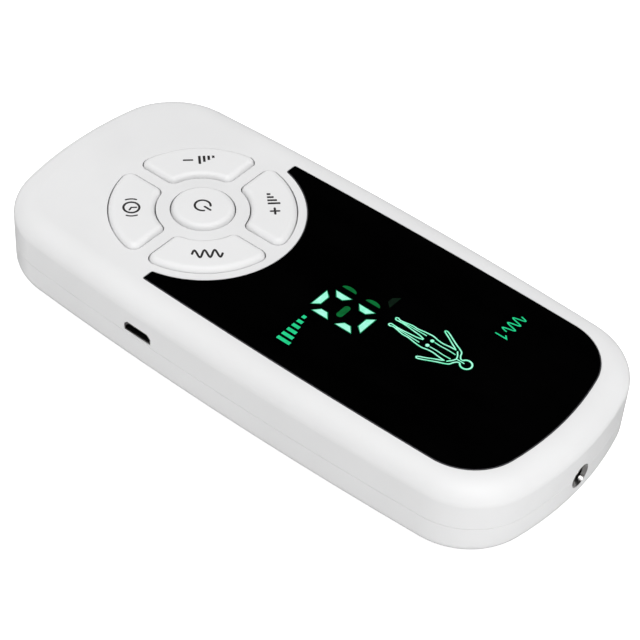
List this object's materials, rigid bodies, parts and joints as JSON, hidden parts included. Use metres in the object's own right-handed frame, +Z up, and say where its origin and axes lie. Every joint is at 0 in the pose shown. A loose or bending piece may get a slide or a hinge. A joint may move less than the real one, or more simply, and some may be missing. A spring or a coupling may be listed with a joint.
{
  "type": "tens unit",
  "caption": "Flat hand-held nerve-stimulation unit: bulging round-cornered case, wide notched display window, round key pad, charging socket on the side, output jack at the end.",
  "frame": {"origin": "under the middle of the case, on the plane that it rests on", "axes": "+Z up through the display, +Y along the case towards the output jack's end, +X towards the side with the USB socket"},
  "size_m": [0.065, 0.1422, 0.0192],
  "materials": {
    "case_white": "satin moulded ABS",
    "key_white": "satin moulded ABS",
    "window_black": "polished acrylic, printed black on its underside",
    "adhesive": "thin foam tape",
    "screw_steel": "zinc plated",
    "board_green": "solder mask",
    "black_plastic": "moulded nylon",
    "white_plastic": "moulded nylon",
    "sheet_steel": "nickel plated",
    "plated_brass": "nickel plated",
    "contact_gold": "gold flashed",
    "diffuser": "translucent film",
    "led_lens": "clear resin",
    "battery_foil": "laminated foil",
    "wire_red": "vinyl insulation",
    "wire_black": "vinyl insulation",
    "ferrite": "sintered",
    "copper_wire": "enamelled",
    "capacitor_can": "bare can",
    "chip_ceramic": "ceramic"
  },
  "bodies": {
    "case": {"upper_shell": "case_white", "lower_shell": "case_white", "case_screws": "screw_steel", "board_screws": "screw_steel", "display_window": "window_black", "window_tape": "adhesive", "switch_bases": "black_plastic", "switch_covers": "sheet_steel", "switch_domes": "sheet_steel", "circuit_board": "board_green", "display_frame": "white_plastic", "display_film": "diffuser", "display_leds": "led_lens", "usb_shell": "sheet_steel", "usb_tongue": "black_plastic", "usb_contacts": "contact_gold", "jack_body": "black_plastic", "jack_bushing": "plated_brass", "jack_springs": "contact_gold", "battery_cell": "battery_foil", "battery_tape": "adhesive", "battery_protection_board": "board_green", "battery_lead_red": "wire_red", "battery_lead_black": "wire_black", "battery_plug": "white_plastic", "battery_header": "white_plastic", "transformer_core": "ferrite", "transformer_bobbin": "black_plastic", "transformer_winding": "copper_wire", "electrolytic_capacitors": "capacitor_can", "microcontroller": "black_plastic", "output_driver": "black_plastic", "charger_chip": "black_plastic", "chip_leads": "sheet_steel", "chip_resistors": "black_plastic", "chip_capacitors": "chip_ceramic"},
    "power_button": {"power_key": "key_white", "power_plunger": "black_plastic"},
    "stronger_button": {"stronger_key": "key_white", "stronger_plunger": "black_plastic"},
    "weaker_button": {"weaker_key": "key_white", "weaker_plunger": "black_plastic"},
    "mode_button": {"mode_key": "key_white", "mode_plunger": "black_plastic"},
    "timer_button": {"timer_key": "key_white", "timer_plunger": "black_plastic"}
  },
  "joints": [
    {"name": "power_press", "type": "slide", "parent": "case", "child": "power_button", "axis": [0, 0, -1], "range_m": [0, 0.0004], "stiffness_N_per_m": 300},
    {"name": "stronger_press", "type": "slide", "parent": "case", "child": "stronger_button", "axis": [0, 0, -1], "range_m": [0, 0.0004], "stiffness_N_per_m": 300},
    {"name": "weaker_press", "type": "slide", "parent": "case", "child": "weaker_button", "axis": [0, 0, -1], "range_m": [0, 0.0004], "stiffness_N_per_m": 300},
    {"name": "mode_press", "type": "slide", "parent": "case", "child": "mode_button", "axis": [0, 0, -1], "range_m": [0, 0.0004], "stiffness_N_per_m": 300},
    {"name": "timer_press", "type": "slide", "parent": "case", "child": "timer_button", "axis": [0, 0, -1], "range_m": [0, 0.0004], "stiffness_N_per_m": 300}
  ]
}
